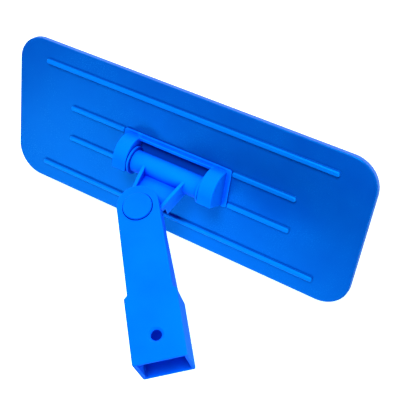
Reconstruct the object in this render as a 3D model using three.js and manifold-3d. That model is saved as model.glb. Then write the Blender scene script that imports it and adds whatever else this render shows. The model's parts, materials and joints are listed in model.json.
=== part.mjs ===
// Swivel scrub-pad holder: a ribbed plate with a two-axis joint and a square socket for a pole.
// Millimetres, +Z up. The plate lies pad side down; the origin is the centre of its pad face,
// X runs along the plate and Y across it.

import * as THREE from 'three';
import { mergeVertices } from 'three/addons/utils/BufferGeometryUtils.js';
import Module from 'manifold-3d';

const wasm = await Module();
wasm.setup();

// ---------------------------------------------------------------- driving dimensions

const GAP = 0.3;                    // clearance between touching pieces
const CUT = 0.5;                    // how far a cutting tool runs past the face it opens

const PLATE = { length: 235, width: 95, thick: 4, corner: 17.5, bevel: 0.8, frontZ: 0.8 };
const REAR_Z = PLATE.frontZ + PLATE.thick;

const RIB = {
  width: 3.2, height: 1.8, bevel: 0.7, corner: 1.3, buried: 1,
  outerY: 35, outerHalf: 96.2, innerY: 10.4, innerHalf: 76.3,
};
const STRIP = { length: 216, width: 25, thick: 1.5, spacing: 29, corner: 3 };

const BRACKET = {
  halfLength: 36.3, halfWidth: 12.5, flange: 1.2, corner: 1.6,
  blockInner: 24.4, blockOuter: 33.5,
  capRadius: 12, capY: -1.1, capZ: 4.8, lipY: -6.5, lipDrop: 0.2, toeY: -12,
  wallFront: 8.9, wallBack: 10.9, wallTop: 3.4, wallOverlap: 1,
};
const HINGE = { y: -2, height: 7.8, pinRadius: 3, pinHalf: 30.7, barrelRadius: 6.7, barrelHalf: 22.6 };
const WASHER = { radius: 8.6, thick: 1.2, flat: 7.2 };
const SCREW = {
  x: 29, backY: 7, frontY: -8.2, headRadius: 3.1, headThick: 1.4, shankRadius: 1.4, length: 5,
  slotHalf: 0.4, slotDepth: 0.5,
};

const YOKE = {
  webTop: 14.9, webEnd: 10.9, webEndReach: 23.4, webThick: 2, webFront: 6.7, webBack: -4.2,
  webRoot: 5.6, webRise: 14,
  floorRoot: 0.8, floorFront: 4, floorBack: -2.6, rampStart: 8, rampEnd: 16, stepReach: 15.2,
  floorInset: 0.4, lugBack: 2.6, lugRadius: 12.2, pivotReach: 29.5, cheekSweep: 14,
};
const HANDLE = {
  front: 11.2, cheekBack: 7, slotBack: 2.3, back: -1.6,
  headRadius: 12, headShift: 1.4, neckTop: 11.4, neckEnd: 12.4, neckReach: 51,
  waistReach: 17, backSlopeEnd: 45, backSlopeDepth: -8.8, shoulderStep: 2,
  socketStart: 52.6, socketEnd: 89.4, socketHalf: 14.4, socketDepth: 26, socketDraft: 1,
  wall: 2.1, cavityStart: 55,
  slotRadius: 13.1, slotReach: 4, holeReach: 75.7, holeRadius: 2.95, sinkRadius: 4.3, sinkDepth: 0.9,
};
const SWIVEL = {
  headRadius: 8.4, headRise: 1.2, headRim: 0.4, headBottom: 8.8, shankRadius: 4,
  shankEnd: -1.9, recessRadius: 7.2, recessFloor: 0.5,
  washerRadius: 6.8, washerThick: 0.6, capRadius: 6.2, capThick: 2.3, capBore: 1.5, capRim: 0.7,
};

const TILT = THREE.MathUtils.degToRad(56.8);     // yoke above the plate
const TURN = THREE.MathUtils.degToRad(39.3);     // handle turned in the yoke

const ROUND = 56;                   // segments of a full circle on the large turned faces
const SMALL_ROUND = 28;             // segments on pins and holes
const SCREW_ROUND = 20;             // segments on screw shanks and their holes

// ---------------------------------------------------------------- materials

function plastic(colour, roughness) {
  return new THREE.MeshStandardMaterial({ color: colour, roughness, metalness: 0 });
}

function metal(colour, roughness) {
  return new THREE.MeshStandardMaterial({ color: colour, roughness, metalness: 1 });
}

const BLUE = 0x0a7ae6;
const BLACK = 0x24272b;
const STEEL = 0xb8bcc2;

// ---------------------------------------------------------------- solids

function toSolid(geometry) {
  const bare = geometry.clone();
  bare.deleteAttribute('normal');
  bare.deleteAttribute('uv');
  const merged = mergeVertices(bare, 1e-4);
  return new wasm.Manifold(new wasm.Mesh({
    numProp: 3,
    vertProperties: new Float32Array(merged.attributes.position.array),
    triVerts: new Uint32Array(merged.index.array),
  }));
}

function toGeometry(solid) {
  const mesh = solid.getMesh();
  const geometry = new THREE.BufferGeometry();
  geometry.setAttribute('position', new THREE.BufferAttribute(mesh.vertProperties, 3));
  geometry.setIndex(new THREE.BufferAttribute(mesh.triVerts, 1));
  geometry.computeVertexNormals();
  return geometry;
}

function box(x0, x1, y0, y1, z0, z1) {
  const geometry = new THREE.BoxGeometry(x1 - x0, y1 - y0, z1 - z0);
  geometry.translate((x0 + x1) / 2, (y0 + y1) / 2, (z0 + z1) / 2);
  return toSolid(geometry);
}

// A round bar along Z from z0 to z1.
function bar(radius, x, y, z0, z1, segments = SMALL_ROUND, topRadius = radius) {
  const geometry = new THREE.CylinderGeometry(topRadius, radius, z1 - z0, segments);
  geometry.rotateX(Math.PI / 2);
  geometry.translate(x, y, (z0 + z1) / 2);
  return toSolid(geometry);
}

// A round bar along X from x0 to x1.
function barAlongX(radius, y, z, x0, x1, segments = SMALL_ROUND) {
  const geometry = new THREE.CylinderGeometry(radius, radius, x1 - x0, segments);
  geometry.rotateZ(Math.PI / 2);
  geometry.translate((x0 + x1) / 2, y, z);
  return toSolid(geometry);
}

// An outline in X and Y, raised from z0 to z1, with bevelled rims where asked.
function slab(shape, z0, z1, { curveSegments = 12, bevel = 0 } = {}) {
  const geometry = new THREE.ExtrudeGeometry(shape, {
    depth: z1 - z0 - 2 * bevel,
    curveSegments,
    bevelEnabled: bevel > 0,
    bevelThickness: bevel,
    bevelSize: bevel,
    bevelOffset: -bevel,
    bevelSegments: 2,
  });
  geometry.translate(0, 0, z0 + bevel);
  return toSolid(geometry);
}

// An outline drawn in Y and Z, run along X from x0 to x1.
function run(shape, x0, x1, curveSegments = 12) {
  const settings = { depth: x1 - x0, curveSegments, bevelEnabled: false };
  const geometry = new THREE.ExtrudeGeometry(shape, settings);
  geometry.applyMatrix4(new THREE.Matrix4().set(0, 0, 1, x0, 1, 0, 0, 0, 0, 1, 0, 0, 0, 0, 0, 1));
  return toSolid(geometry);
}

function roundedRectangle(length, width, corner, x = 0, y = 0) {
  const shape = new THREE.Shape();
  const right = x + length / 2 - corner;
  const left = x - length / 2 + corner;
  const top = y + width / 2 - corner;
  const bottom = y - width / 2 + corner;
  shape.absarc(right, bottom, corner, -Math.PI / 2, 0);
  shape.absarc(right, top, corner, 0, Math.PI / 2);
  shape.absarc(left, top, corner, Math.PI / 2, Math.PI);
  shape.absarc(left, bottom, corner, Math.PI, 1.5 * Math.PI);
  return shape;
}

function polygon(points) {
  return new THREE.Shape(points.map(([a, b]) => new THREE.Vector2(a, b)));
}

function union(solids) {
  return solids.reduce((sum, solid) => sum.add(solid));
}

function without(solid, cutters) {
  return cutters.reduce((rest, cutter) => rest.subtract(cutter), solid);
}

function piece(name, solid, material) {
  const mesh = new THREE.Mesh(toGeometry(solid), material);
  mesh.name = name;
  return mesh;
}

// ---------------------------------------------------------------- plate and grip strips

const screwPlaces = [
  ['bracket_screw_left_back', -SCREW.x, SCREW.backY],
  ['bracket_screw_right_back', SCREW.x, SCREW.backY],
  ['bracket_screw_left_front', -SCREW.x, SCREW.frontY],
  ['bracket_screw_right_front', SCREW.x, SCREW.frontY],
];
const STRIP_SEAT_Z = STRIP.thick + GAP;
const SCREW_HEAD_Z = STRIP_SEAT_Z + GAP;
const stripPlaces = [
  ['grip_strip_back', STRIP.spacing],
  ['grip_strip_middle', 0],
  ['grip_strip_front', -STRIP.spacing],
];

function ribSolids() {
  const outer = 2 * RIB.outerHalf;
  const innerStart = BRACKET.halfLength + GAP;
  const innerLength = RIB.innerHalf - innerStart;
  const innerMiddle = (RIB.innerHalf + innerStart) / 2;
  const outlines = [];
  for (const side of [-1, 1]) {
    outlines.push(roundedRectangle(outer, RIB.width, RIB.corner, 0, side * RIB.outerY));
    for (const end of [-1, 1]) {
      const x = end * innerMiddle;
      outlines.push(roundedRectangle(innerLength, RIB.width, RIB.corner, x, side * RIB.innerY));
    }
  }
  const finish = { curveSegments: 5, bevel: RIB.bevel };
  return outlines.map((outline) => slab(outline, REAR_Z - RIB.buried, REAR_Z + RIB.height, finish));
}

function plateSolid() {
  const body = slab(
    roundedRectangle(PLATE.length, PLATE.width, PLATE.corner),
    PLATE.frontZ, REAR_Z, { curveSegments: 14, bevel: PLATE.bevel },
  );
  const seats = stripPlaces.map(([, y]) => slab(
    roundedRectangle(STRIP.length + 2 * GAP, STRIP.width + 2 * GAP, STRIP.corner, 0, y),
    PLATE.frontZ - CUT, STRIP_SEAT_Z, { curveSegments: 4 },
  ));
  const headRoom = SCREW_HEAD_Z + SCREW.headThick + GAP;
  const holes = screwPlaces.flatMap(([, x, y]) => [
    bar(SCREW.headRadius + GAP, x, y, PLATE.frontZ - CUT, headRoom),
    bar(SCREW.shankRadius + GAP, x, y, PLATE.frontZ, REAR_Z + CUT, SCREW_ROUND),
  ]);
  return without(union([body, ...ribSolids()]), [...seats, ...holes]);
}

function stripSolid(y) {
  const outline = roundedRectangle(STRIP.length, STRIP.width, STRIP.corner, 0, y);
  return slab(outline, 0, STRIP.thick, { curveSegments: 4 });
}

function screwSolid(x, y) {
  const headTop = SCREW_HEAD_Z + SCREW.headThick;
  const head = bar(SCREW.headRadius, x, y, SCREW_HEAD_Z, headTop);
  const shank = bar(SCREW.shankRadius, x, y, headTop - GAP, headTop + SCREW.length, SCREW_ROUND);
  const driveSlot = box(
    x - SCREW.headRadius, x + SCREW.headRadius,
    y - SCREW.slotHalf, y + SCREW.slotHalf,
    SCREW_HEAD_Z - CUT, SCREW_HEAD_Z + SCREW.slotDepth,
  );
  return without(union([head, shank]), [driveSlot]);
}

// ---------------------------------------------------------------- hinge bracket

const HINGE_Z = REAR_Z + HINGE.height;
const BRACKET_Z = REAR_Z + GAP;

// The bearing block seen from the end: upright back, round cap, flat crest, sloping front.
function blockOutline() {
  const shape = new THREE.Shape();
  const capZ = REAR_Z + BRACKET.capZ;
  const crestZ = capZ + BRACKET.capRadius;
  shape.moveTo(BRACKET.toeY, BRACKET_Z);
  shape.lineTo(BRACKET.capY + BRACKET.capRadius, BRACKET_Z);
  shape.absarc(BRACKET.capY, capZ, BRACKET.capRadius, 0, Math.PI / 2);
  shape.lineTo(BRACKET.lipY, crestZ - BRACKET.lipDrop);
  shape.lineTo(BRACKET.toeY, BRACKET_Z + BRACKET.flange);
  return shape;
}

function bracketSolid() {
  const top = BRACKET_Z + BRACKET.flange;
  const padLength = BRACKET.halfLength - BRACKET.blockInner;
  const padMiddle = (BRACKET.halfLength + BRACKET.blockInner) / 2;
  const solids = [];
  const cutters = [];
  for (const side of [-1, 1]) {
    const inner = side * BRACKET.blockInner;
    const outer = side * BRACKET.blockOuter;
    solids.push(slab(
      roundedRectangle(padLength, 2 * BRACKET.halfWidth, BRACKET.corner, side * padMiddle, 0),
      BRACKET_Z, top, { curveSegments: 4 },
    ));
    solids.push(run(blockOutline(), Math.min(inner, outer), Math.max(inner, outer), 18));
    const seatRadius = HINGE.pinRadius + GAP;
    const seatInner = side * (BRACKET.blockInner - CUT);
    const seatOuter = side * (HINGE.pinHalf + GAP);
    const from = Math.min(seatInner, seatOuter);
    const to = Math.max(seatInner, seatOuter);
    cutters.push(barAlongX(seatRadius, HINGE.y, HINGE_Z, from, to));
    cutters.push(box(from, to, HINGE.y - seatRadius, HINGE.y + seatRadius, REAR_Z - CUT, HINGE_Z));
  }
  const halfRail = BRACKET.halfLength - BRACKET.corner;
  const wallHalf = BRACKET.blockInner + BRACKET.wallOverlap;
  const wallTop = REAR_Z + BRACKET.wallTop;
  solids.push(box(-halfRail, halfRail, BRACKET.wallFront, BRACKET.halfWidth, BRACKET_Z, top));
  solids.push(box(-wallHalf, wallHalf, BRACKET.wallFront, BRACKET.wallBack, BRACKET_Z, wallTop));
  const pilotTop = SCREW_HEAD_Z + SCREW.headThick + SCREW.length + GAP;
  for (const [, x, y] of screwPlaces) {
    cutters.push(bar(SCREW.shankRadius + GAP, x, y, REAR_Z - CUT, pilotTop, SCREW_ROUND));
  }
  return without(union(solids), cutters);
}

function hingePinSolid() {
  return barAlongX(HINGE.pinRadius, HINGE.y, HINGE_Z, -HINGE.pinHalf, HINGE.pinHalf);
}

// A thrust washer with a flat lower edge that stands on the plate and keeps it from turning.
function thrustWasherSolid(side) {
  const near = side * (HINGE.barrelHalf + GAP);
  const far = side * (HINGE.barrelHalf + GAP + WASHER.thick);
  const from = Math.min(near, far);
  const to = Math.max(near, far);
  const reach = WASHER.radius + CUT;
  return without(barAlongX(WASHER.radius, HINGE.y, HINGE_Z, from, to, ROUND), [
    barAlongX(HINGE.pinRadius + GAP, HINGE.y, HINGE_Z, from - CUT, to + CUT),
    box(from - CUT, to + CUT, HINGE.y - reach, HINGE.y + reach, HINGE_Z - reach, HINGE_Z - WASHER.flat),
  ]);
}

// ---------------------------------------------------------------- yoke
// Drawn about the hinge axis: X along the barrel, -Y out along the yoke, +Z its front.

function webOutline(side) {
  const lean = (YOKE.webTop - YOKE.webEnd) / YOKE.webEndReach;
  const outer = (reach) => YOKE.webTop - lean * reach;
  const points = [
    [outer(0), 0],
    [outer(YOKE.webEndReach), -YOKE.webEndReach],
    [outer(YOKE.webEndReach) - YOKE.webThick, -YOKE.webEndReach],
    [outer(0) - YOKE.webThick, 0],
  ];
  return polygon(points.map(([x, y]) => [side * x, y]));
}

// The webs seen from the side: their front edge rises from the barrel.
function webSideOutline() {
  return polygon([
    [0, YOKE.webBack],
    [0, YOKE.webRoot],
    [-YOKE.webRise, YOKE.webFront],
    [-YOKE.webEndReach, YOKE.webFront],
    [-YOKE.webEndReach, YOKE.webBack],
  ]);
}

// The plate between the webs, seen from the side: it rises from the barrel to the lug.
function floorOutline() {
  return polygon([
    [0, YOKE.floorBack],
    [0, YOKE.floorRoot],
    [-YOKE.rampStart, YOKE.floorRoot],
    [-YOKE.rampEnd, YOKE.floorFront],
    [-YOKE.pivotReach, YOKE.floorFront],
    [-YOKE.pivotReach, YOKE.lugBack],
    [-YOKE.stepReach, YOKE.lugBack],
    [-YOKE.stepReach, YOKE.floorBack],
  ]);
}

function yokeSolid() {
  const webs = [-1, 1].map((side) => slab(webOutline(side), YOKE.webBack, YOKE.webFront));
  const cheekRoom = bar(YOKE.cheekSweep, 0, -YOKE.pivotReach, YOKE.webBack - CUT, YOKE.lugBack, ROUND);
  const floorTop = YOKE.webTop - YOKE.floorInset;
  const floorEnd = YOKE.webEnd - YOKE.floorInset;
  const floorPlan = slab(polygon([
    [-floorTop, 0],
    [-floorEnd, -YOKE.webEndReach],
    [floorEnd, -YOKE.webEndReach],
    [floorTop, 0],
  ]), YOKE.floorBack - CUT, YOKE.webFront);
  const floor = run(floorOutline(), -YOKE.webTop, YOKE.webTop).intersect(floorPlan);
  const lug = bar(YOKE.lugRadius, 0, -YOKE.pivotReach, YOKE.lugBack, YOKE.webFront, ROUND);
  const barrel = barAlongX(HINGE.barrelRadius, 0, 0, -HINGE.barrelHalf, HINGE.barrelHalf, ROUND);
  const webSide = run(webSideOutline(), -YOKE.webTop, YOKE.webTop);
  const trimmedWebs = without(union(webs), [cheekRoom]).intersect(webSide);
  return without(union([barrel, trimmedWebs, floor, lug]), [
    barAlongX(HINGE.pinRadius + GAP, 0, 0, -HINGE.barrelHalf - CUT, HINGE.barrelHalf + CUT),
    bar(SWIVEL.shankRadius + GAP, 0, -YOKE.pivotReach, YOKE.lugBack - CUT, YOKE.webFront + CUT),
  ]);
}

// ---------------------------------------------------------------- handle
// Drawn about the swivel axis: -Y down the handle, +Z its front.

function handleOutline() {
  const shape = new THREE.Shape();
  const side = HANDLE.headRadius;
  const lean = Math.asin((side - HANDLE.neckTop) / side);
  shape.absarc(0, HANDLE.headShift, side, -lean, Math.PI + lean);
  shape.lineTo(-HANDLE.neckEnd, -HANDLE.neckReach);
  shape.lineTo(-HANDLE.socketHalf, -HANDLE.socketStart);
  shape.lineTo(-HANDLE.socketHalf, -HANDLE.socketEnd);
  shape.lineTo(HANDLE.socketHalf, -HANDLE.socketEnd);
  shape.lineTo(HANDLE.socketHalf, -HANDLE.socketStart);
  shape.lineTo(HANDLE.neckEnd, -HANDLE.neckReach);
  return shape;
}

function handleSideOutline() {
  const socketBack = HANDLE.front - HANDLE.socketDepth;
  const top = HANDLE.headRadius + HANDLE.headShift + CUT;
  return polygon([
    [top, HANDLE.back],
    [top, HANDLE.front],
    [-HANDLE.socketEnd, HANDLE.front],
    [-HANDLE.socketEnd, socketBack],
    [-HANDLE.socketStart, socketBack + HANDLE.socketDraft],
    [-HANDLE.neckReach, socketBack + HANDLE.socketDraft + HANDLE.shoulderStep],
    [-HANDLE.backSlopeEnd, HANDLE.backSlopeDepth],
    [-HANDLE.waistReach, HANDLE.back],
  ]);
}

function handleSolid() {
  const { front, back, wall, slotBack, cheekBack, sinkRadius, sinkDepth } = HANDLE;
  const widest = HANDLE.socketHalf + CUT;
  const top = HANDLE.headRadius + HANDLE.headShift + CUT;
  const socketBack = front - HANDLE.socketDepth;
  const plan = slab(handleOutline(), socketBack - CUT, front + CUT, { curveSegments: 28 });
  const body = run(handleSideOutline(), -widest, widest).intersect(plan);
  const inside = HANDLE.socketHalf - wall;
  const mouth = -HANDLE.socketEnd - CUT;
  const hole = HANDLE.holeRadius;
  const holeY = -HANDLE.holeReach;
  return without(body, [
    box(-inside, inside, mouth, -HANDLE.cavityStart, socketBack + wall, front - wall),
    box(-widest, widest, -HANDLE.slotReach, top, slotBack, cheekBack),
    bar(HANDLE.slotRadius, 0, 0, slotBack, cheekBack, ROUND),
    bar(SWIVEL.headRadius + GAP, 0, 0, SWIVEL.headBottom - GAP, front + CUT, ROUND),
    bar(SWIVEL.shankRadius + GAP, 0, 0, back - CUT, front),
    bar(SWIVEL.recessRadius, 0, 0, back - CUT, SWIVEL.recessFloor, ROUND),
    bar(hole, 0, holeY, socketBack - CUT, front + CUT),
    bar(hole, 0, holeY, front - sinkDepth, front, SMALL_ROUND, sinkRadius),
    bar(sinkRadius, 0, holeY, socketBack, socketBack + sinkDepth, SMALL_ROUND, hole),
  ]);
}

// ---------------------------------------------------------------- swivel pin, washer and cap

function swivelPinSolid() {
  const headTop = HANDLE.front + SWIVEL.headRise;
  const rim = SWIVEL.headRim;
  return union([
    bar(SWIVEL.headRadius, 0, 0, SWIVEL.headBottom, headTop - rim, ROUND),
    bar(SWIVEL.headRadius, 0, 0, headTop - rim, headTop, ROUND, SWIVEL.headRadius - rim),
    bar(SWIVEL.shankRadius, 0, 0, SWIVEL.shankEnd, SWIVEL.headBottom + CUT),
  ]);
}

const WASHER_TOP = SWIVEL.recessFloor - GAP;
const CAP_TOP = WASHER_TOP - SWIVEL.washerThick - GAP;

function swivelWasherSolid() {
  const bottom = WASHER_TOP - SWIVEL.washerThick;
  const disc = bar(SWIVEL.washerRadius, 0, 0, bottom, WASHER_TOP, ROUND);
  return without(disc, [bar(SWIVEL.shankRadius + GAP, 0, 0, bottom - CUT, WASHER_TOP + CUT)]);
}

function swivelCapSolid() {
  const rim = SWIVEL.capRim;
  const bottom = CAP_TOP - SWIVEL.capThick;
  const cap = union([
    bar(SWIVEL.capRadius, 0, 0, bottom + rim, CAP_TOP, ROUND),
    bar(SWIVEL.capRadius - rim, 0, 0, bottom, bottom + rim, ROUND, SWIVEL.capRadius),
  ]);
  return without(cap, [bar(SWIVEL.shankRadius + GAP, 0, 0, CAP_TOP - SWIVEL.capBore, CAP_TOP + CUT)]);
}

// ---------------------------------------------------------------- assembly

const holder = new THREE.Group();
holder.add(piece('base_plate', plateSolid(), plastic(BLUE, 0.42)));
for (const [name, y] of stripPlaces) {
  holder.add(piece(name, stripSolid(y), plastic(BLACK, 0.85)));
}
for (const [name, x, y] of screwPlaces) {
  holder.add(piece(name, screwSolid(x, y), metal(STEEL, 0.35)));
}
holder.add(piece('hinge_bracket', bracketSolid(), plastic(BLUE, 0.4)));
holder.add(piece('hinge_pin', hingePinSolid(), metal(STEEL, 0.3)));
holder.add(piece('thrust_washer_left', thrustWasherSolid(-1), plastic(BLUE, 0.38)));
holder.add(piece('thrust_washer_right', thrustWasherSolid(1), plastic(BLUE, 0.38)));

const yoke = new THREE.Group();
yoke.position.set(0, HINGE.y, HINGE_Z);
yoke.rotation.x = -TILT;
yoke.add(piece('yoke', yokeSolid(), plastic(BLUE, 0.38)));
holder.add(yoke);

const handle = new THREE.Group();
handle.position.set(0, -YOKE.pivotReach, 0);
handle.rotation.z = TURN;
handle.add(piece('pole_socket_handle', handleSolid(), plastic(BLUE, 0.38)));
handle.add(piece('swivel_pin', swivelPinSolid(), plastic(BLUE, 0.36)));
handle.add(piece('swivel_washer', swivelWasherSolid(), metal(STEEL, 0.35)));
handle.add(piece('swivel_cap', swivelCapSolid(), plastic(BLUE, 0.4)));
yoke.add(handle);

export default holder;
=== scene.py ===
"""Looks of the swivel scrub pad holder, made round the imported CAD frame. Metres, +Z up."""

import json
import math

import bmesh
import bpy
from mathutils import Matrix, Vector


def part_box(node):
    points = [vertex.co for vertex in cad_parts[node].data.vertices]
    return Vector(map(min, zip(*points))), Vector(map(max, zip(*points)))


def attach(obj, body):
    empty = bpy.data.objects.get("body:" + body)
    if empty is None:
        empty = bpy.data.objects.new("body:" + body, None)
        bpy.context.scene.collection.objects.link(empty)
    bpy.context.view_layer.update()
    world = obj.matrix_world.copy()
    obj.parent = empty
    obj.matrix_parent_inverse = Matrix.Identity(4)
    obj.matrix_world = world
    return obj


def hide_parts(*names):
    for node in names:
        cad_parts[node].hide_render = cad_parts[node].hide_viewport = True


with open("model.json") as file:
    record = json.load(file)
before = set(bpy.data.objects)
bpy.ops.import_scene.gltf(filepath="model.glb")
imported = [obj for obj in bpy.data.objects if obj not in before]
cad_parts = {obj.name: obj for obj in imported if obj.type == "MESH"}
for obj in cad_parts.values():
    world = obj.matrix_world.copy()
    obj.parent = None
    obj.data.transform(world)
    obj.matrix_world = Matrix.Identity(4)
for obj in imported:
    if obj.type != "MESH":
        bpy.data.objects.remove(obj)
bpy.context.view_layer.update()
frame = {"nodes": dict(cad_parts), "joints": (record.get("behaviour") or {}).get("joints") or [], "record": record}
nodes = frame["nodes"]

MM = 0.001

# ---------------------------------------------------------------- camera

FOCAL = 71.915
SENSOR = 36.0
CAMERA_AT = Vector((0.18845, 0.23798, 0.36080))
RIGHT = (0.8553171, 0.1316169, -0.5011084)
UP = (-0.3708603, 0.8309258, -0.4147590)
BACK = (0.3617946, 0.5405917, 0.7595165)


def make_camera():
    data = bpy.data.cameras.new("camera")
    data.lens = FOCAL
    data.sensor_width = SENSOR
    data.clip_start = 0.01
    data.clip_end = 20
    camera = bpy.data.objects.new("camera", data)
    bpy.context.scene.collection.objects.link(camera)
    turn = Matrix((RIGHT, UP, BACK)).transposed()
    camera.matrix_world = Matrix.Translation(CAMERA_AT) @ turn.to_4x4()
    bpy.context.scene.camera = camera


# ---------------------------------------------------------------- material helpers


# Inputs and the output of a Mix node that's set to colours.
MIX_AMOUNT, MIX_FIRST, MIX_SECOND = 0, 6, 7
MIX_COLOUR = 2


class Graph:
    """Short calls for building a material's nodes."""

    def __init__(self, name):
        self.material = bpy.data.materials.new(name)
        self.material.use_nodes = True
        self.tree = self.material.node_tree
        self.tree.nodes.clear()
        self.out = self.tree.nodes.new("ShaderNodeOutputMaterial")

    def node(self, kind, **inputs):
        made = self.tree.nodes.new("ShaderNode" + kind)
        for name, value in inputs.items():
            socket = made.inputs[name.replace("_", " ")]
            if isinstance(value, bpy.types.NodeSocket):
                self.tree.links.new(value, socket)
            else:
                socket.default_value = value
        return made

    def noise(self, where, scale, detail=3.0, roughness=0.5):
        made = self.node("TexNoise", Scale=scale, Detail=detail, Roughness=roughness)
        self.tree.links.new(where, made.inputs["Vector"])
        return made.outputs["Fac"]

    def spread(self, value, low, high, to_low=0.0, to_high=1.0):
        """The value's range low..high stretched to to_low..to_high and clamped."""
        made = self.tree.nodes.new("ShaderNodeMapRange")
        made.clamp = True
        self.tree.links.new(value, made.inputs["Value"])
        for name, number in (("From Min", low), ("From Max", high), ("To Min", to_low), ("To Max", to_high)):
            made.inputs[name].default_value = number
        return made.outputs["Result"]

    def mix(self, amount, first, second):
        made = self.tree.nodes.new("ShaderNodeMix")
        made.data_type = "RGBA"
        for index, value in ((MIX_AMOUNT, amount), (MIX_FIRST, first), (MIX_SECOND, second)):
            if isinstance(value, bpy.types.NodeSocket):
                self.tree.links.new(value, made.inputs[index])
            else:
                made.inputs[index].default_value = value
        return made.outputs[MIX_COLOUR]

    def sum(self, first, second, weight):
        """first + weight * second."""
        scaled = self.tree.nodes.new("ShaderNodeMath")
        scaled.operation = "MULTIPLY_ADD"
        self.tree.links.new(second, scaled.inputs[0])
        scaled.inputs[1].default_value = weight
        self.tree.links.new(first, scaled.inputs[2])
        return scaled.outputs[0]

    def finish(self, shader):
        self.tree.links.new(shader.outputs[0], self.out.inputs["Surface"])
        return self.material


def colour(red, green, blue):
    return (red, green, blue, 1.0)


# Reach of the occlusion that paints shade into recesses, and of the inside occlusion that finds convex edges.
HOLLOW_REACH = 9.0 * MM
EDGE_REACH = 0.9 * MM
OCCLUSION_SAMPLES = 8
PLASTIC_IOR = 1.49
SPECULAR_TINT = (0.0, 0.45, 1.0)


def moulded_plastic(
    name, body, painted_shade, scuff_and_highlight_colour, roughness, depth=1.0, shine=0.5, shade_range=(0.2, 0.85), top_highlight=None
):
    """Satin moulded plastic with flow mottling, fine texture, painted shade in recesses, and lighter edges that
    are partly real scuffing and partly painted highlight.

    hollows is the range of openness over which body turns to deep, the painted shade colour, and depth is how far
    it turns.
    rubbed is the height in mm over which raised parts get a painted highlight.
    """
    g = Graph(name)
    place = g.node("TexCoord").outputs["Object"]
    flow = g.noise(place, 38.0, 2.5, 0.55)
    cloud = g.noise(place, 9.0, 1.5)
    peel = g.noise(place, 1500.0, 3.0, 0.6)
    fine = g.noise(place, 5200.0, 2.0)

    # Painted shade: where the surface is hemmed in (recesses, creases, gaps between parts) the colour turns
    # towards deep, the painted shade colour.
    hollow = g.node("AmbientOcclusion", Distance=HOLLOW_REACH)
    hollow.samples = OCCLUSION_SAMPLES
    shade = g.spread(hollow.outputs["AO"], shade_range[0], shade_range[1], depth, 0.0)
    # Lighter edges: the inside occlusion finds convex edges and the scuff noise breaks them up; this is partly
    # real scuffing and partly painted highlight.
    corner = g.node("AmbientOcclusion", Distance=EDGE_REACH)
    corner.samples = OCCLUSION_SAMPLES
    corner.inside = True
    corner.only_local = True
    edge = g.spread(corner.outputs["AO"], 0.5, 0.93, 1.0, 0.0)
    scuffs = g.spread(g.noise(place, 420.0, 4.0, 0.7), 0.42, 0.62, 0.4, 1.0)
    scuff_and_highlight_mask = g.tree.nodes.new("ShaderNodeMath")
    scuff_and_highlight_mask.operation = "MULTIPLY"
    g.tree.links.new(edge, scuff_and_highlight_mask.inputs[0])
    g.tree.links.new(scuffs, scuff_and_highlight_mask.inputs[1])

    lighter = colour(body[0], min(1.0, body[1] * 1.12), min(1.0, body[2] * 1.04))
    darker = colour(body[0], body[1] * 0.9, body[2] * 0.96)
    base = g.mix(g.spread(g.sum(flow, cloud, 0.8), 0.65, 1.15), darker, lighter)
    base = g.mix(shade, base, colour(*painted_shade))
    # Edges turn towards worn, the lighter colour: partly scuffing, partly painted highlight.
    base = g.mix(g.spread(scuff_and_highlight_mask.outputs[0], 0.0, 1.0, 0.0, 0.5), base, colour(*scuff_and_highlight_colour))
    # Painted highlight: raised parts such as the plate's rib tops turn lighter with height.
    if top_highlight:
        height_there = g.node("SeparateXYZ", Vector=place).outputs["Z"]
        base = g.mix(g.spread(height_there, top_highlight[0] * MM, top_highlight[1] * MM, 0.0, 0.4), base, colour(*scuff_and_highlight_colour))

    gloss = g.spread(g.sum(peel, flow, 0.6), 0.5, 1.1, roughness - 0.05, roughness + 0.06)
    grazing = g.node("LayerWeight", Blend=0.5).outputs["Facing"]
    gloss = g.sum(gloss, g.spread(grazing, 0.45, 0.85, 0.0, 1.0), 0.5)
    height = g.sum(peel, fine, 0.35)
    bump = g.node("Bump", Strength=0.22, Distance=0.00006, Height=height)
    shader = g.node("BsdfPrincipled", Base_Color=base, Roughness=gloss, Normal=bump.outputs["Normal"])
    shader.inputs["IOR"].default_value = PLASTIC_IOR
    shader.inputs["Specular IOR Level"].default_value = shine
    shader.inputs["Specular Tint"].default_value = colour(*SPECULAR_TINT)
    return g.finish(shader)


def steel(name):
    """Zinc-plated steel with fine drawn lines."""
    g = Graph(name)
    place = g.node("TexCoord").outputs["Object"]
    stretched = g.node("Mapping", Vector=place, Scale=(300.0, 4000.0, 4000.0)).outputs["Vector"]
    lines = g.noise(stretched, 1.0, 4.0, 0.6)
    bloom = g.noise(place, 260.0, 3.0)
    tone = g.mix(bloom, colour(0.48, 0.49, 0.5), colour(0.72, 0.73, 0.75))
    gloss = g.spread(lines, 0.3, 0.7, 0.24, 0.42)
    bump = g.node("Bump", Strength=0.3, Distance=0.00002, Height=lines)
    shader = g.node("BsdfPrincipled", Base_Color=tone, Roughness=gloss, Normal=bump.outputs["Normal"])
    shader.inputs["Metallic"].default_value = 1.0
    return g.finish(shader)


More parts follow.
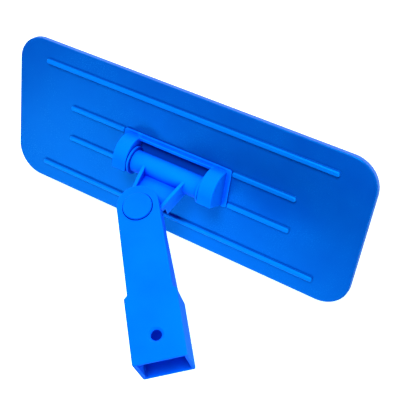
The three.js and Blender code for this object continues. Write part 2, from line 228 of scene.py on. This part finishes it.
def hook_weave(name):
    """Black nylon hook tape: a woven ground with a soft sheen."""
    g = Graph(name)
    place = g.node("TexCoord").outputs["Object"]
    weave = g.tree.nodes.new("ShaderNodeTexWave")
    weave.inputs["Scale"].default_value = 900.0
    weave.inputs["Distortion"].default_value = 1.5
    g.tree.links.new(place, weave.inputs["Vector"])
    fuzz = g.noise(place, 2600.0, 3.0)
    lit = g.sum(weave.outputs["Fac"], fuzz, 0.6)
    tone = g.mix(lit, colour(0.008, 0.009, 0.011), colour(0.035, 0.037, 0.042))
    bump = g.node("Bump", Strength=0.5, Distance=0.00008, Height=weave.outputs["Fac"])
    shader = g.node("BsdfPrincipled", Base_Color=tone, Normal=bump.outputs["Normal"])
    shader.inputs["Roughness"].default_value = 0.62
    shader.inputs["Sheen Weight"].default_value = 0.25
    return g.finish(shader)


# ---------------------------------------------------------------- rounded copies of the solids

HARD = math.radians(26)
FLAT = math.radians(0.2)
WELD = 0.002 * MM


def handle_place(point):
    """A point of the handle as (across, down its length, towards its front), in millimetres."""
    offset = point - PIVOT
    return offset.dot(ACROSS) / MM, offset.dot(ALONG) / MM, offset.dot(FACE) / MM


def solid_copy(node):
    """The node's solid as a clean closed mesh."""
    bm = bmesh.new()
    bm.from_mesh(nodes[node].data)
    bmesh.ops.remove_doubles(bm, verts=bm.verts, dist=WELD)
    bmesh.ops.dissolve_degenerate(bm, edges=bm.edges, dist=WELD)
    bmesh.ops.dissolve_limit(bm, angle_limit=FLAT, verts=bm.verts, edges=bm.edges)
    bmesh.ops.recalc_face_normals(bm, faces=bm.faces)
    return bm


def rounded_piece(bm, name, node, body, material, radius, steps=3):
    """A piece from the mesh with every hard edge rounded. radius gives an edge's own radius in mm."""
    weights = bm.edges.layers.float.new("bevel_weight_edge")
    widest = 0.0
    sizes = []
    for edge in bm.edges:
        size = 0.0
        if len(edge.link_faces) == 2 and edge.calc_face_angle(0.0) > HARD:
            middle = (edge.verts[0].co + edge.verts[1].co) / 2
            size = radius(edge, middle) if callable(radius) else radius
        sizes.append((edge, size))
        widest = max(widest, size)
    for edge, size in sizes:
        edge[weights] = size / widest if widest else 0.0
        edge.smooth = size > 0 or edge.calc_face_angle(0.0) <= HARD
    for face in bm.faces:
        face.smooth = True
    mesh = bpy.data.meshes.new(name)
    bm.to_mesh(mesh)
    bm.free()
    piece = bpy.data.objects.new(name, mesh)
    bpy.context.scene.collection.objects.link(piece)
    mesh.materials.append(material)
    bevel = piece.modifiers.new("round", "BEVEL")
    bevel.limit_method = "WEIGHT"
    bevel.width = widest * MM
    bevel.segments = steps
    bevel.use_clamp_overlap = False
    bevel.loop_slide = False
    bevel.harden_normals = True
    normals = piece.modifiers.new("even", "WEIGHTED_NORMAL")
    normals.keep_sharp = True
    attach(piece, body)
    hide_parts(node)
    return piece


def rounded(node, name, body, material, radius, steps=3):
    """A piece that stands for the node, shaped from the node's own solid."""
    return rounded_piece(solid_copy(node), name, node, body, material, radius, steps)


def add_prism(bm, outline, low, high, place):
    """A closed prism: the outline at low and at high, each point put in space by place(u, v, w)."""
    first = [bm.verts.new(place(u, v, low)) for u, v in outline]
    second = [bm.verts.new(place(u, v, high)) for u, v in outline]
    bm.faces.new(first)
    bm.faces.new(list(reversed(second)))
    for index in range(len(outline)):
        after = (index + 1) % len(outline)
        bm.faces.new((first[index], second[index], second[after], first[after]))


def rounded_outline(low, high, corner, steps=5):
    points = []
    for x, y, start in (
        (high.x - corner, low.y + corner, -90),
        (high.x - corner, high.y - corner, 0),
        (low.x + corner, high.y - corner, 90),
        (low.x + corner, low.y + corner, 180),
    ):
        points += arc_points((x, y), corner, start, start + 90, steps)
    return points


def arc_points(centre, radius, start, end, steps):
    points = []
    for step in range(steps + 1):
        angle = math.radians(start + (end - start) * step / steps)
        points.append((centre[0] + radius * math.cos(angle), centre[1] + radius * math.sin(angle)))
    return points


# ---------------------------------------------------------------- places taken from the record

JOINTS = {joint["name"]: joint for joint in frame["joints"]}
PIVOT = Vector(JOINTS["handle_swivel"]["pos_m"])
FACE = Vector(JOINTS["handle_swivel"]["axis"]).normalized()
RIM = frame["record"]["mounts"][1]
ALONG = Vector(RIM["axis"]).normalized()
ACROSS = FACE.cross(ALONG).normalized()

make_camera()

# All three blues paint shade into their recesses through deep and lighten their edges, partly as scuffing and
# partly as painted highlight; the plate also gets a painted highlight on its rib tops through rubbed.
PLATE_BLUE = moulded_plastic(
    "plate_blue", body=(0.0, 0.064, 0.34), painted_shade=(0.0, 0.042, 0.42), scuff_and_highlight_colour=(0.0, 0.24, 0.90), roughness=0.24,
    top_highlight=(5.4, 6.2))
JOINT_BLUE = moulded_plastic(
    "joint_blue", body=(0.0, 0.164, 0.86), painted_shade=(0.0, 0.010, 0.56), scuff_and_highlight_colour=(0.0, 0.25, 1.0), roughness=0.46,
    depth=0.95, shine=0.08, shade_range=(0.3, 0.95))
HANDLE_BLUE = moulded_plastic(
    "handle_blue", body=(0.0, 0.114, 0.88), painted_shade=(0.0, 0.003, 0.29), scuff_and_highlight_colour=(0.0, 0.24, 1.0), roughness=0.44,
    depth=0.95, shine=0.08, shade_range=(0.3, 0.85))
STEEL = steel("zinc_steel")
HOOKS = hook_weave("hook_nylon")


# Places on the handle, in the millimetres of handle_place.
BUTTON_HOLE_AT = 75.7
BUTTON_HOLE_REACH = 5
SOCKET_FROM = 50
SOCKET_BACK = -12
CAVITY_FROM = 54
CAVITY_HALF_WIDTH = 12.6
CAVITY_BACK, CAVITY_FRONT = -12.9, 9.3
FORK_TO = 16
FORK_BACK, FORK_FRONT = -1.4, 9
PIN_BORE_REACH = 9.5


def handle_radius(edge, middle):
    across, along, front = handle_place(middle)
    lengthwise = abs((edge.verts[1].co - edge.verts[0].co).normalized().dot(ALONG)) > 0.9
    if math.hypot(across, along - BUTTON_HOLE_AT) < BUTTON_HOLE_REACH:
        return 0.2
    if along > CAVITY_FROM and abs(across) < CAVITY_HALF_WIDTH and CAVITY_BACK < front < CAVITY_FRONT:
        return 0.7
    if lengthwise and along > SOCKET_FROM and front < SOCKET_BACK:
        return 2.0
    if along > SOCKET_FROM:
        return 0.8
    if along < FORK_TO and FORK_BACK < front < FORK_FRONT:
        return 0.3
    if math.hypot(across, along) < PIN_BORE_REACH:
        return 0.15
    return 0.6


rounded("pole_socket_handle", "handle_shell", "handle", HANDLE_BLUE, handle_radius)


def yoke_radius(edge, middle):
    """Only outer edges are rounded, so the webs still meet the barrel in a crisp line."""
    return 0.3 if edge.is_convex else 0.0


rounded("yoke", "yoke_shell", "yoke_body", JOINT_BLUE, yoke_radius)

# ---------------------------------------------------------------- hinge bracket

# Millimetres: u is Y, v is Z and w is X in the prisms made with along_x.
BLOCK_IN = 24.4
BLOCK_OUT = 33.5
CAP_AT = (-1.1, 9.6)
CAP_RADIUS = 12.0
CREST_END = (-6.5, 21.4)
TOE = -12.0
PAD_THICK = 1.2
WALL_FRONT = 8.9
WALL_TOP = 8.2
PAD_CORNER = 1.6
BLOCK_STEPS = 22
# Faces of overlapping shapes are kept this far apart, so that none of them coincide.
GAP = 0.02


def along_x(u, v, w):
    return Vector((w, u, v)) * MM


def upright(u, v, w):
    return Vector((u, v, w)) * MM


def bracket_radius(edge, middle):
    if middle.z < bracket_low + (PAD_THICK + 0.01) * MM:
        return 0.3
    if abs(middle.x) < (BLOCK_IN - 0.1) * MM:
        return 0.35
    return 0.55


def bracket_piece():
    """Two blocks, two pads, a rail and a wall: closed shapes that overlap inside one piece."""
    low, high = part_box("hinge_bracket")
    under = low.z / MM
    flange = under + PAD_THICK
    half_length = high.x / MM
    half_width = high.y / MM
    bm = bmesh.new()
    foot = under + 3 * GAP
    block = [(TOE, foot), (CAP_AT[0] + CAP_RADIUS, foot)]
    block += arc_points(CAP_AT, CAP_RADIUS, 0, 90, BLOCK_STEPS)
    block += [CREST_END, (TOE, flange)]
    for side in (-1, 1):
        ends = sorted((side * BLOCK_IN, side * BLOCK_OUT))
        add_prism(bm, block, ends[0], ends[1], along_x)
        ends = sorted((side * (BLOCK_IN + GAP), side * half_length))
        pad = rounded_outline(Vector((ends[0], -half_width)), Vector((ends[1], half_width)), PAD_CORNER)
        add_prism(bm, pad, under, flange, upright)
    rail = BLOCK_IN + 2
    edge = half_width - GAP
    add_prism(bm, [(-rail, WALL_FRONT), (rail, WALL_FRONT), (rail, edge), (-rail, edge)],
              under + GAP, flange - GAP, upright)
    wall = BLOCK_IN + 1
    back = CAP_AT[0] + CAP_RADIUS - GAP
    add_prism(bm, [(-wall, WALL_FRONT), (wall, WALL_FRONT), (wall, back), (-wall, back)],
              under + 2 * GAP, WALL_TOP, upright)
    bmesh.ops.recalc_face_normals(bm, faces=bm.faces)
    rounded_piece(
        bm, "bracket_shell", "hinge_bracket", "holder", JOINT_BLUE, bracket_radius, 4)


bracket_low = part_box("hinge_bracket")[0].z
bracket_piece()

# ---------------------------------------------------------------- plate, washers and swivel pin


RIBS_FROM = 5.2 * MM


def plate_radius(edge, middle):
    return 0.48 if middle.z > RIBS_FROM else 0.3


rounded("base_plate", "plate_shell", "holder", PLATE_BLUE, plate_radius)
for washer in ("thrust_washer_left", "thrust_washer_right"):
    rounded(washer, washer + "_shell", "holder", JOINT_BLUE, 0.2, 2)
rounded("swivel_pin", "swivel_pin_shell", "handle", HANDLE_BLUE, 0.35)
rounded("swivel_cap", "swivel_cap_shell", "handle", JOINT_BLUE, 0.3)

# ---------------------------------------------------------------- hook strips


# One hook seen along X: (offset, depth below the tape, half thickness), all in mm.
HOOK = (
    (0.0, 0.0, 0.20),
    (0.0, 0.45, 0.15),
    (0.06, 0.72, 0.14),
    (0.26, 0.86, 0.12),
    (0.46, 0.72, 0.09),
    (0.5, 0.52, 0.05),
)
HOOK_HALF = 0.16
TAPE = 0.55
TAPE_CORNER = 3
PITCH = 2.3
MARGIN = 1.6
ROOT = 0.05


def add_hook(bm, x, y, top, way):
    """A curved nylon hook that hangs from the tape at (x, y)."""
    rings = []
    for index, (offset, depth, thick) in enumerate(HOOK):
        before = HOOK[max(0, index - 1)]
        after = HOOK[min(len(HOOK) - 1, index + 1)]
        run = Vector((0.0, (after[0] - before[0]) * way, before[1] - after[1])).normalized()
        side = Vector((0.0, -run.z, run.y))
        centre = Vector((x, y + way * offset * MM, top - depth * MM))
        ring = []
        for across, out in ((-1, -1), (1, -1), (1, 1), (-1, 1)):
            offset_there = Vector((across * HOOK_HALF * MM, 0, 0)) + side * out * thick * MM
            ring.append(bm.verts.new(centre + offset_there))
        rings.append(ring)
    for first, second in zip(rings, rings[1:]):
        for index in range(4):
            bm.faces.new((first[index], first[(index + 1) % 4], second[(index + 1) % 4], second[index]))
    bm.faces.new(rings[0])
    bm.faces.new(list(reversed(rings[-1])))


def hook_strip(node):
    low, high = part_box(node)
    tape_low = high.z - TAPE * MM
    bm = bmesh.new()
    outline = rounded_outline(low, high, TAPE_CORNER * MM)
    bottom = [bm.verts.new((x, y, tape_low)) for x, y in outline]
    top = [bm.verts.new((x, y, high.z)) for x, y in outline]
    bm.faces.new(list(reversed(bottom)))
    bm.faces.new(top)
    for index in range(len(outline)):
        after = (index + 1) % len(outline)
        bm.faces.new((bottom[index], bottom[after], top[after], top[index]))
    margin = MARGIN * MM
    columns = int((high.x - low.x - 2 * margin) / (PITCH * MM))
    rows = int((high.y - low.y - 2 * margin) / (PITCH * MM))
    for row in range(rows + 1):
        way = 1 if row % 2 else -1
        y = low.y + margin + row * (high.y - low.y - 2 * margin) / rows
        shift = 0.5 if row % 2 else 0.0
        for column in range(columns):
            x = low.x + margin + (column + 0.25 + shift) * (high.x - low.x - 2 * margin) / columns
            add_hook(bm, x, y, tape_low + ROOT * MM, way)
    bmesh.ops.recalc_face_normals(bm, faces=bm.faces)
    deepest = min(vert.co.z for vert in bm.verts)
    for vert in bm.verts:
        if vert.co.z < tape_low - 0.01 * MM:
            vert.co.z = tape_low + (vert.co.z - tape_low) * (tape_low - low.z) / (tape_low - deepest)
    mesh = bpy.data.meshes.new(node + "_hooks")
    bm.to_mesh(mesh)
    bm.free()
    mesh.materials.append(HOOKS)
    strip = bpy.data.objects.new(node + "_hooks", mesh)
    bpy.context.scene.collection.objects.link(strip)
    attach(strip, "holder")
    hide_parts(node)


for strip_node in ("grip_strip_back", "grip_strip_middle", "grip_strip_front"):
    hook_strip(strip_node)

# ---------------------------------------------------------------- steel parts stay as the CAD made them

for node in nodes:
    if node.startswith("bracket_screw") or node in ("hinge_pin", "swivel_washer"):
        nodes[node].data.materials.clear()
        nodes[node].data.materials.append(STEEL)

# ---------------------------------------------------------------- floor, lights and world


def make_floor():
    mesh = bpy.data.meshes.new("floor")
    reach = 40.0
    below = -0.0004
    corners = [(-reach, -reach, below), (reach, -reach, below), (reach, reach, below), (-reach, reach, below)]
    mesh.from_pydata(corners, [], [(0, 1, 2, 3)])
    floor = bpy.data.objects.new("floor", mesh)
    bpy.context.scene.collection.objects.link(floor)
    g = Graph("floor_white")
    place = g.node("TexCoord").outputs["Object"]
    tone = g.mix(g.noise(place, 3.0, 2.0), colour(0.86, 0.87, 0.88), colour(0.9, 0.9, 0.9))
    shader = g.node("BsdfPrincipled", Base_Color=tone)
    shader.inputs["Roughness"].default_value = 0.9
    shader.inputs["Specular IOR Level"].default_value = 0.1
    shader.inputs["Emission Color"].default_value = colour(1.0, 1.0, 1.0)
    shader.inputs["Emission Strength"].default_value = 0.85
    mesh.materials.append(g.finish(shader))


def area_light(name, place, target, width, height, power, tint):
    data = bpy.data.lights.new(name, "AREA")
    data.shape = "RECTANGLE"
    data.size = width
    data.size_y = height
    data.energy = power
    data.color = tint
    light = bpy.data.objects.new(name, data)
    light.location = place
    light.rotation_mode = "QUATERNION"
    light.rotation_quaternion = (Vector(place) - Vector(target)).to_track_quat("Z", "Y")
    bpy.context.scene.collection.objects.link(light)


make_floor()
MIDDLE = (0.0, -0.01, 0.03)
area_light(
    "key", place=(0.06, 1.12, 0.88), target=MIDDLE, width=0.55, height=0.55, power=31.0,
    tint=(0.8, 0.93, 1.0))
area_light(
    "low", place=(-0.36, -0.64, 0.72), target=(-0.1, -0.02, 0.0), width=0.8, height=0.22, power=6.5,
    tint=(0.02, 0.5, 1.0))
area_light(
    "side", place=(0.72, -0.3, 0.62), target=MIDDLE, width=0.5, height=0.5, power=6.0,
    tint=(0.3, 0.85, 0.9))

world = bpy.data.worlds.new("studio")
bpy.context.scene.world = world
world.use_nodes = True
sky = world.node_tree
glow = sky.nodes["Background"]
glow.inputs["Color"].default_value = colour(0.4, 0.7, 1.0)
glow.inputs["Strength"].default_value = 0.15
paper = sky.nodes.new("ShaderNodeBackground")
paper.inputs["Color"].default_value = colour(0.93, 0.95, 0.97)
seen = sky.nodes.new("ShaderNodeLightPath")
either = sky.nodes.new("ShaderNodeMixShader")
sky.links.new(seen.outputs["Is Camera Ray"], either.inputs[0])
sky.links.new(glow.outputs[0], either.inputs[1])
sky.links.new(paper.outputs[0], either.inputs[2])
sky.links.new(either.outputs[0], sky.nodes["World Output"].inputs["Surface"])

bpy.context.scene.view_settings.view_transform = "Standard"

# ---------------------------------------------------------------- view layer update

bpy.context.view_layer.update()
